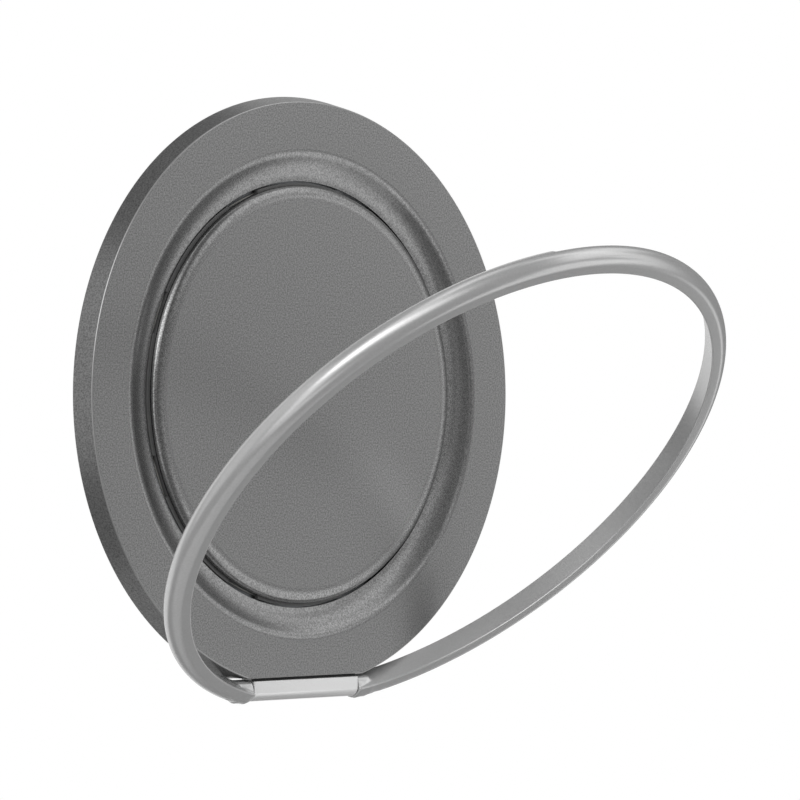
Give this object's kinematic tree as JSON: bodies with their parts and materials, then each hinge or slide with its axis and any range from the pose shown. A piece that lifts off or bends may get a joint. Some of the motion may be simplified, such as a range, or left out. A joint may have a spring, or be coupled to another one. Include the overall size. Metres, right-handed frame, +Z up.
{
  "type": "phone ring holder",
  "caption": "Flat round phone ring holder: a metal ring folds around a dished disc on a friction hinge, and the disc turns on a rear magnetic mounting plate.",
  "frame": {"origin": "centre of the rear face that lies on the phone", "axes": "+Y into the phone, away from the front face; +Z up, away from the hinge; +X to the right seen from the front"},
  "size_m": [0.0606, 0.0438, 0.058],
  "materials": {
    "gunmetal": "bead blasted, dark grey",
    "satin_silver": "satin silver",
    "inner_steel": "plain",
    "zinc_screw": "zinc plated",
    "magnet_nickel": "nickel plated",
    "slip_film": "slip film",
    "adhesive": "adhesive film",
    "soft_pad": "soft matt"
  },
  "bodies": {
    "phone_side": {"rear_pad": "soft_pad", "pad_adhesive": "adhesive", "rear_plate": "inner_steel", "hub_screws": "zinc_screw", "swivel_hub": "gunmetal", "cap_adhesive": "adhesive", "centre_cap": "gunmetal", "ring_magnets": "magnet_nickel", "magnet_yoke": "inner_steel", "front_glide_washer": "slip_film", "rear_glide_washer": "slip_film"},
    "turning_base": {"outer_body": "gunmetal", "retaining_ring": "inner_steel", "retaining_screws": "zinc_screw", "hinge_barrel": "satin_silver", "barrel_dowels": "inner_steel", "friction_sleeves": "inner_steel"},
    "ring": {"grip_ring": "satin_silver", "hinge_pins": "inner_steel"}
  },
  "joints": [
    {"name": "base_swivel", "type": "hinge", "parent": "phone_side", "child": "turning_base", "pos_m": [0, 0, 0], "axis": [0, -1, 0], "continuous": true},
    {"name": "ring_flip", "type": "hinge", "parent": "turning_base", "child": "ring", "pos_m": [0, -0.0021, -0.02817], "axis": [1, 0, 0], "range_deg": [-45, 120]}
  ]
}
